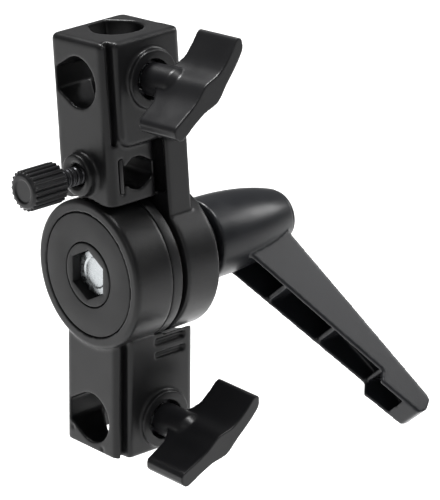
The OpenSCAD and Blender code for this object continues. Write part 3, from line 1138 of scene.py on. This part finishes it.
@dataclass
class WingClamp:
    """A wing knob on its screw, with the insert and the shoe that go with it.

    Attributes:
        half: "upper" or "lower", which names its nodes and bodies.
        matrix: Placing of its half.
        height: Height of the screw above the tilt axis.
        angle: How far the wings are turned at rest, in degrees.
        depth: Depth of the screw's axis.
        stem: Radius of the knob's stem.
        stem_start: Where the stem starts along x.
        stem_end: Where its full radius ends.
        wing_start: Where the wings start.
        wing_end: Where they end.
        span: Distance from the axis to a wing's tip.
        thick: Half the wings' thickness, away from the stem.
        screw: Radius of the screw.
        screw_start: Where the screw starts.
        screw_end: Where it ends, inside the knob.
        pitch: Distance between the thread's turns.
    """

    half: str
    matrix: Matrix
    height: float
    angle: float
    depth: float = 18.4
    stem: float = 5.3
    stem_start: float = 15.25
    stem_end: float = 27.6
    wing_start: float = 24.6
    wing_end: float = 43.3
    span: float = 18.7
    thick: float = 2.25
    screw: float = 4.0
    screw_start: float = 10.05
    screw_end: float = 27.3
    pitch: float = 1.25

    def build(self) -> None:
        """Build and place the knob, its screw, the insert and the shoe."""
        half, moving = self.half, f"{self.half}_wing"
        self._place(self._knob(), f"{half}_wing_handle", KNOB_PLASTIC, moving, "knob_plastic",
                    f"{half}_wing_knob", crease=180)
        self._place(self._screw(), f"{half}_wing_stud", ZINC_TURNED, moving, "zinc_steel",
                    f"{half}_clamp_screw")
        insert = lathe(rectangle((4.08, 8.95), (6.25, 12.05), 0.3, 0.2, 0.4, 0.4, steps=3))
        self._place(insert.turn(-90, "Z"), f"{half}_screw_insert", DARK_STEEL, half,
                    "dark_steel", f"{half}_clamp_insert")
        shoe = turned(3.6, 8.45, 10.0, edge=0.4).turn(-90, "Z")
        self._place(shoe, f"{half}_screw_shoe", SHOE_PLASTIC, f"{half}_shoe", "shoe_plastic",
                    f"{half}_clamp_shoe")

    def _place(self, solid: Solid, name: str, finish: Finish, body: str, slot: str, node: str,
               crease: float = 40.0) -> None:
        """Move a solid from the screw's axis to its place and finish it."""
        solid.shift(depth=self.depth, z=self.height)
        finish_piece(solid, name, self.matrix, finish, body, slot, node, crease=crease)

    def _edges(self, u: float) -> tuple[float, float]:
        """Return the heights of the wings' lower and upper face at a distance along them.

        One wing curls up and the other runs nearly straight and thickens a little. Both
        swell towards the stem and are round at the tip.

        Args:
            u: Distance from the screw's axis.

        Returns:
            The two heights.
        """
        curl, droop, offset, swell, spread, thickening = 0.0145, 0.03, 0.1, 1.6, 20, 0.02
        blunt_tip = 0.02
        middle = curl * u * u - offset if u > 0 else droop * u - offset
        bulge = swell * math.exp(-u * u / spread) + max(-thickening * u, 0)
        near_tip = max(abs(u) - (self.span - self.thick), 0) / self.thick
        half = (self.thick + bulge) * math.sqrt(max(1 - near_tip**2, blunt_tip))
        return middle - half, middle + half

    def _wings(self) -> Solid:
        """Return both wings: a swept section, trimmed to their side outline.

        Returns:
            The wings, before they are joined to the stem.
        """
        steps = 30
        stations = [self.span * k / steps for k in range(-steps, steps + 1)]
        section = [(u, self._edges(u)[0]) for u in stations]
        section += [(u, self._edges(u)[1]) for u in reversed(stations)]
        wings = prism(section, self.stem_start, self.wing_end + 2, Facing.SIDE)
        side = rounded(
            [(self.wing_start - 4, 0), (self.wing_start + 1, -9), (self.wing_start + 2.2, -22),
             (self.wing_end, -22), (self.wing_end, 22), (self.wing_start + 1, 22),
             (self.wing_start, 9)], [2, 4, 0, 0, 0, 0, 4])
        return wings.combine(Join.KEEP, prism(side, -12, 12, Facing.PLAN))

    def _knob(self) -> Solid:
        """Return the knob, softened so that stem and wings flow together.

        Returns:
            The knob, turned to its angle at rest.
        """
        start, end = self.stem_start, 31
        profile = rounded([(0, start), (self.stem, start), (self.stem, self.stem_end),
                           (3.4, end), (0, end)], [0, 0.5, 2, 0.5, 0])
        knob = lathe(profile, count=96).turn(-90, "Z")
        knob.combine(Join.ADD, self._wings())
        knob.combine(Join.CUT, rod(self.screw, start - 1, 27.4))
        return knob.soften(cell=0.3, passes=4).turn(self.angle, "X")

    def _screw(self) -> Solid:
        """Return the screw: a core with a thread up to the knob.

        Returns:
            The screw, along x.
        """
        core = turned(self.screw - 0.55, self.screw_start, self.screw_end, edge=0.3)
        thread = Repeats.helix(self.screw - 0.53, self.pitch, 10.8, 15.8, thick=0.52, sides=6,
                               finish=ZINC_TURNED)
        return core.combine(Join.ADD, thread).turn(-90, "Z")


@dataclass
class ThumbClamp:
    """The umbrella shaft's thumb screw: ribbed knob, threaded rod and shoe.

    Attributes:
        height: Height of the screw above the tilt axis.
        knob: Radius of the knob over its ribs.
        knob_start: Depth of the knob's outer face.
        knob_end: Depth of its inner face.
        ribs: How many ribs it has.
        rib: Width of a rib.
        screw: Radius of the screw.
        pitch: Distance between the thread's turns.
        tip: Depth at which the screw ends.
        shoe: Radius of the shoe.
    """

    height: float = 32.8
    knob: float = 6.6
    knob_start: float = -23.2
    knob_end: float = -9.8
    ribs: int = 22
    rib: float = 1.25
    screw: float = 3.0
    pitch: float = 1.0
    tip: float = 5.9
    shoe: float = 2.6

    def build(self) -> None:
        """Build and place the three pieces."""
        core, dish = self.knob - self.rib / 2 - 0.25, self.knob_start + 0.45
        body = lathe(rectangle((0, self.knob_start), (core, self.knob_end),
                               0, 0.9, 0.5, 0, steps=5))
        ribs = Repeats.flutes(self.knob - self.rib / 2, self.rib, self.knob_start + 0.7,
                              self.knob_end - self.knob_start - 1.1, self.ribs, KNOB_PLASTIC)
        body.combine(Join.ADD, ribs)
        profile = [(0, self.knob_start - 1), (4.2, self.knob_start - 1), (3.7, dish), (0, dish)]
        body.combine(Join.CUT, lathe(profile, count=64))
        self._place(body.soften(cell=0.22, passes=3), "thumb_grip", KNOB_PLASTIC, "thumb",
                    "knob_plastic", "thumb_knob", crease=180)
        screw = turned(self.screw - 0.48, -18, self.tip, edge=0.3)
        thread = Repeats.helix(self.screw - 0.46, self.pitch, self.knob_end - 1, self.tip - 0.6,
                               thick=0.44, sides=6, finish=DARK_STEEL)
        self._place(screw.combine(Join.ADD, thread), "thumb_rod", DARK_STEEL, "thumb",
                    "dark_steel", "thumb_screw")
        shoe = turned(self.shoe, self.tip + 0.05, self.tip + 1.05, edge=0.3)
        self._place(shoe, "thumb_pad_disc", SHOE_PLASTIC, "thumb_pad", "shoe_plastic",
                    "thumb_shoe")

    def _place(self, solid: Solid, name: str, finish: Finish, body: str, slot: str, node: str,
               crease: float = 40.0) -> None:
        """Move a solid from the screw's axis to its place and finish it."""
        finish_piece(solid.shift(z=self.height), name, PLACE.upper, finish, body, slot, node,
                     crease=crease)


@dataclass
class Lever:
    """The locking lever: washer, splined nut, hub with its arm, end cap and spring.

    The arm is drawn along x. Its front and back run at a slope, so that each is given as a
    depth and a slope.

    Attributes:
        angle: How far the arm is turned about the tilt axis at rest, in degrees.
        hub: Radius of the hub.
        hub_start: Depth at which the hub starts.
        hub_end: Depth at which it ends under its cap.
        hub_centre: Depth from which it narrows.
        hub_half: Depth, from there, over which it would close to a point.
        washer: Radius of the washer under the nut, and its depths.
        flange: Radius of the nut's flange, and its depths.
        barrel: Radius of the nut's barrel, and its depths.
        splines: How many splines the nut has.
        coil: Radius of the spring's coils.
        coil_depths: Depths between which the spring runs.
        screw_seat: Depth that the spring presses against, where it stays when it shortens. Not
            used.
        length: Distance from the tilt axis to the arm's tip.
        front: Depth of the arm's front edge at root.
        front_slope: How much deeper it gets for each millimetre out.
        root: Distance from the tilt axis that front is given at.
        back: Depth that the arm's back face has at the tilt axis.
        back_slope: How much deeper it gets for each millimetre out.
        widths: Half the arm's width at the tilt axis and at its tip.
        hollow_widths: The same for the hollow.
        hollow_start: Distance from the tilt axis at which the hollow starts.
        wall: Thickness of the arm's back.
        tip_wall: Thickness of its end.
        notch: Where the front edge steps back near the tip: its start, end and depth.
        rib_front: Depth of a rib's front edge at root.
        rib_half: Half a rib's thickness.
        rib_pitch: Distance between the ribs.
        first_rib: Distance from the tilt axis to the first.
        rib_count: How many there are.
    """

    angle: float = 49.0
    hub: float = 13.4
    hub_start: float = 45.0
    hub_end: float = 79.0
    hub_centre: float = 48.8
    hub_half: float = 40.1
    washer: tuple[float, float, float] = (12.0, 34.25, 36.15)
    flange: tuple[float, float, float] = (11.0, 36.2, 44.6)
    barrel: tuple[float, float, float] = (8.0, 44.0, 55.6)
    splines: int = 12
    coil: float = 4.8
    coil_depths: tuple[float, float] = (59.1, 67.9)
    screw_seat: float = 68.4
    length: float = 77.5
    front: float = 56.3
    front_slope: float = 0.59
    root: float = 10.0
    back: float = 72.8
    back_slope: float = 0.355
    widths: tuple[float, float] = (7.1, 5.5)
    hollow_widths: tuple[float, float] = (6.0, 4.1)
    hollow_start: float = 11.5
    wall: float = 2.4
    tip_wall: float = 5.5
    notch: tuple[float, float, float] = (60.5, 64.0, 2.4)
    rib_front: float = 57.1
    rib_half: float = 0.8
    rib_pitch: float = 17.9
    first_rib: float = 24.2
    rib_count: int = 3

    def build(self) -> None:
        """Build and place every piece of the lever."""
        washer = turned(*self.washer, edge=0.3, bore=5.0)
        finish_piece(washer, "lever_washer", PLACE.lower, ZINC_TURNED, "lever_carrier",
                     "zinc_steel", "thrust_washer", crease=40)
        self._nut()
        handle = self._hub().combine(Join.ADD, self._arm().turn(self.angle, "Y"))
        barrel_room, lift_room = turned(8.15, self.hub_start - 1, 56.0), turned(9.0, 48.9, 56.0)
        screw_hole, spring_room = turned(3.1, 55, 59.5), turned(6.5, 58.5, self.hub_end + 1)
        handle.combine(Join.CUT, barrel_room, lift_room, screw_hole, spring_room,
                       *self._spline_slots())
        handle.soften(cell=0.4, passes=6)
        finish_piece(handle, "lever_arm_and_hub", PLACE.lower, LEVER_PLASTIC, "handle",
                     "lever_plastic", "lever_handle")
        self._cap()
        coil = Repeats.helix(self.coil, 2.22, *self.coil_depths, thick=0.48, sides=10,
                             finish=ZINC_TURNED)
        spring = finish_piece(coil, "lever_coil_spring", PLACE.lower, ZINC_TURNED, "nut",
                              "zinc_steel", "lever_spring", crease=60)
        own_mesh(spring)

    def _radius(self, depth: float) -> float:
        """Return the hub's outside radius at a depth."""
        along = max(depth - self.hub_centre, 0) / self.hub_half
        return self.hub * math.sqrt(1 - along**2)

    def _hub(self) -> Solid:
        """Return the bullet-shaped hub.

        Returns:
            The hub, before its holes are cut.
        """
        span, steps = self.hub_end - self.hub_centre, 40
        depths = [self.hub_centre + span * k / steps for k in range(steps + 1)]
        curve = [(self._radius(depth), depth) for depth in depths]
        nose = [(0, self.hub_start), (self.hub - 0.6, self.hub_start),
                (self.hub, self.hub_start + 0.6)]
        return lathe(nose + curve + [(0, self.hub_end)], count=160)

    def _spline_slots(self) -> list[Solid]:
        """Return the cutters of the slots that the nut's splines fit."""
        slot = rectangle((7.0, -1.15), (9.0, 1.15), 0)
        return self._ring(slot, self.hub_start - 1, 49.0)

    def _ring(self, outline: Outline, low: float, high: float) -> list[Solid]:
        """Return an outline's prisms at every spline, between two depths."""
        return [prism(outline, low, high, Facing.FRONT).turn(360 * k / self.splines, "Y")
                for k in range(self.splines)]

    def _nut(self) -> None:
        """Build the flanged nut with its splines."""
        nut = turned(*self.flange, edge=0.6)
        nut.combine(Join.ADD, turned(*self.barrel, edge=0.5))
        nut.combine(Join.ADD, *self._ring(rectangle((7.0, -1.0), (8.8, 1.0), 0), 44.2, 48.8))
        thread, screw_hole = turned(4.8, 35, 49.5), turned(3.0, 48, 57)
        nut.combine(Join.CUT, thread, screw_hole)
        finish_piece(nut, "lever_splined_nut", PLACE.lower, DARK_STEEL, "nut", "dark_steel",
                     "lever_nut", crease=35)

    def _plan(self, end: float, root: float, tip: float) -> Solid:
        """Return a width that tapers along the arm, as a tall prism.

        Args:
            end: Distance from the tilt axis at which it ends.
            root: Half the width at the tilt axis.
            tip: Half the width at the arm's tip.

        Returns:
            The prism.
        """
        half = root + (tip - root) * end / self.length
        outline = [(0, -root), (end, -half), (end, half), (0, root)]
        return prism(outline, 40, 110, Facing.FRONT)

    def _front_at(self, out: float, depth: float) -> float:
        """Return the depth, at a distance out, of an edge whose depth at root is given."""
        return depth + self.front_slope * (out - self.root)

    def _back_at(self, out: float) -> float:
        """Return the depth of the arm's back face at a distance from the tilt axis."""
        return self.back + self.back_slope * out

    def _arm(self) -> Solid:
        """Return the arm along x: side outline, trimmed to its width, then hollowed.

        Returns:
            The arm, before it is turned to its angle at rest.
        """
        length = self.length
        notch_start, notch_end, notch = self.notch
        step = self._front_at(notch_start, self.front)
        tip_slope, tip_flat, tip_chamfer, front_in_hub = 0.62, 3.4, (3.0, 1.1), 50.4
        tip = step - notch + tip_slope * (length - notch_end)
        outline = rounded(
            [(0, front_in_hub), (notch_start, step), (notch_end, step - notch), (length, tip),
             (length, tip + tip_flat),
             (length - tip_chamfer[0], self._back_at(length) - tip_chamfer[1]), (0, self.back)],
            [0, 0.8, 0.8, 1.5, 2.0, 2.5, 0])
        arm = prism(outline, -12, 12, Facing.PLAN)
        arm.combine(Join.KEEP, self._plan(length, *self.widths))
        start, end = self.hollow_start, length - self.tip_wall
        hollow = prism(rounded(
            [(start, 44), (end, 66), (end, self._back_at(end) - self.wall),
             (start, 76.9 - self.wall)], [0, 0, 2.0, 0]), -12, 12, Facing.PLAN)
        hollow.combine(Join.KEEP, self._plan(end, *self.hollow_widths))
        ribs = [self._rib(self.first_rib + k * self.rib_pitch) for k in range(self.rib_count)]
        hollow.combine(Join.CUT, *ribs)
        return arm.combine(Join.CUT, hollow)

    def _rib(self, out: float) -> Solid:
        """Return one cross rib of the arm's hollow.

        Args:
            out: Distance from the tilt axis to its middle.

        Returns:
            The rib, to be left out of the hollow.
        """
        edge = self._front_at(out, self.rib_front)
        outline = rectangle((out - self.rib_half, edge), (out + self.rib_half, edge + 60), 0)
        return prism(outline, -13, 13, Facing.PLAN)

    def _cap(self) -> None:
        """Build the domed plug in the hub's end."""
        rim, height = self._radius(self.hub_end) - 0.5, 3.6
        dome = [(rim * math.cos(math.radians(a)), self.hub_end + 0.3 + (height - 0.3)
                 * math.sin(math.radians(a))) for a in range(0, 90, 6)]
        profile = [(0, 74), (6.4, 74), (6.4, self.hub_end), (rim, self.hub_end)]
        finish_piece(lathe(profile + dome + [(0, self.hub_end + height)]), "lever_dome_cap",
                     PLACE.lower, LEVER_PLASTIC, "handle", "lever_plastic", "lever_end_cap",
                     crease=40)


def dress_kept_nodes() -> None:
    """Give the frame's own nodes that stay their finishes."""
    kept = {"bolt_washer": ZINC_TURNED, "pivot_bush": BRASS, "lever_screw": ZINC_TURNED}
    for node, finish in kept.items():
        mesh = frame["nodes"][node].data
        mesh.materials.clear()
        mesh.materials.append(finish.material())
        LOG.info("%s: kept, %s", node, finish.name)


# ---------------------------------------------------------------- studio


@dataclass
class Studio:
    """Floor, soft lights and the camera.

    Attributes:
        azimuth: Where the camera looks from, in degrees round the part.
        elevation: How far it looks down, in degrees.
        roll: Its roll, in degrees.
        distance: Its distance from the tilt axis, in metres.
        aim: How far right and up of the pivot it aims, in metres.
        lens: Its focal length on a 36 mm sensor, in millimetres.
        drop: How far the floor is under the lowest point, in metres.
        floor_half: Half the floor's side, in metres.
    """

    azimuth: float = 48.3
    elevation: float = 21.7
    roll: float = 0.39
    distance: float = 1.4084
    aim: tuple[float, float] = (0.04125, 0.00783)
    lens: float = 325.5
    drop: float = 0.12
    floor_half: float = 30.0

    def build(self) -> None:
        """Build the camera, the floor, the sky and the lights."""
        self._camera()
        self._floor()
        self._sky()
        self._light("key", (-0.45, 0.05, 0.95), size=0.3, power=15.0)
        self._light("side", (0.75, -0.95, 0.75), size=0.4, power=2.2)
        self._light("back", (0.35, 0.95, 0.55), size=0.4, power=6.0)
        self._sun()

    def _camera(self) -> None:
        """Build the camera at the view's angle."""
        a, e, r = (math.radians(x) for x in (self.azimuth, self.elevation, self.roll))
        right = Vector((math.cos(a), math.sin(a), 0))
        ahead = Vector((-math.sin(a) * math.cos(e), math.cos(a) * math.cos(e), -math.sin(e)))
        up = right.cross(ahead)
        right, up = right * math.cos(r) + up * math.sin(r), up * math.cos(r) - right * math.sin(r)
        data = bpy.data.cameras.new("camera")
        data.lens, data.clip_start, data.clip_end = self.lens, 0.01, 50
        camera = add_object("camera", data)
        turn = Matrix((right, up, -ahead)).transposed().to_4x4()
        spot = PLACE.pivot - ahead * self.distance + right * self.aim[0] + up * self.aim[1]
        camera.matrix_world = Matrix.Translation(spot) @ turn
        bpy.context.scene.camera = camera

    def _floor(self) -> None:
        """Build the plain pale floor."""
        low = min(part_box(node)[0].z for node in frame["nodes"]) - self.drop
        mesh = bpy.data.meshes.new("floor")
        corners = rectangle((-self.floor_half,) * 2, (self.floor_half,) * 2, 0)
        mesh.from_pydata([(x, y, low) for x, y in corners], [], [(0, 1, 2, 3)])
        floor = add_object("floor", mesh)
        pale = bpy.data.materials.new("pale_floor")
        pale.use_nodes = True
        shader = pale.node_tree.nodes["Principled BSDF"]
        shader.inputs["Base Color"].default_value = (0.93, 0.93, 0.93, 1)
        shader.inputs["Roughness"].default_value = 0.8
        mesh.materials.append(pale)

    def _sky(self) -> None:
        """Set an even, bright surround."""
        world = bpy.data.worlds.new("surround")
        world.use_nodes = True
        shade = world.node_tree.nodes["Background"]
        shade.inputs["Color"].default_value = (1, 1, 1, 1)
        shade.inputs["Strength"].default_value = 0.22
        bpy.context.scene.world = world
        bpy.context.scene.view_settings.view_transform = "Standard"

    def _sun(self) -> None:
        """Add the wide, soft light from above that whitens the floor."""
        data = bpy.data.lights.new("ceiling", "SUN")
        data.energy, data.angle = 2.5, math.radians(9)
        sun = add_object("ceiling", data)
        sun.rotation_euler = (math.radians(-14), math.radians(10), 0)

    def _light(self, name: str, spot: tuple[float, float, float], size: float,
               power: float) -> None:
        """Add a square softbox that faces the pivot.

        Args:
            name: Its name.
            spot: Where it is from the pivot, in metres.
            size: Its side, in metres.
            power: Its power, in watts.
        """
        data = bpy.data.lights.new(name, "AREA")
        data.shape, data.size, data.energy = "SQUARE", size, power
        light = add_object(name, data)
        light.location = PLACE.pivot + Vector(spot)
        light.rotation_mode = "QUATERNION"
        light.rotation_quaternion = (-Vector(spot)).to_track_quat("-Z", "Y")


def main() -> None:
    """Build the studio and every sub-assembly, in order."""
    logging.basicConfig(level=logging.INFO)
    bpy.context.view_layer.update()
    Studio().build()
    LowerHalf().build()
    UpperHalf().build()
    WingClamp("lower", PLACE.lower, -48.8, 24.0).build()
    WingClamp("upper", PLACE.upper, 62.0, 33.0).build()
    ThumbClamp().build()
    Lever().build()
    dress_kept_nodes()


if __name__ == "__main__":
    main()
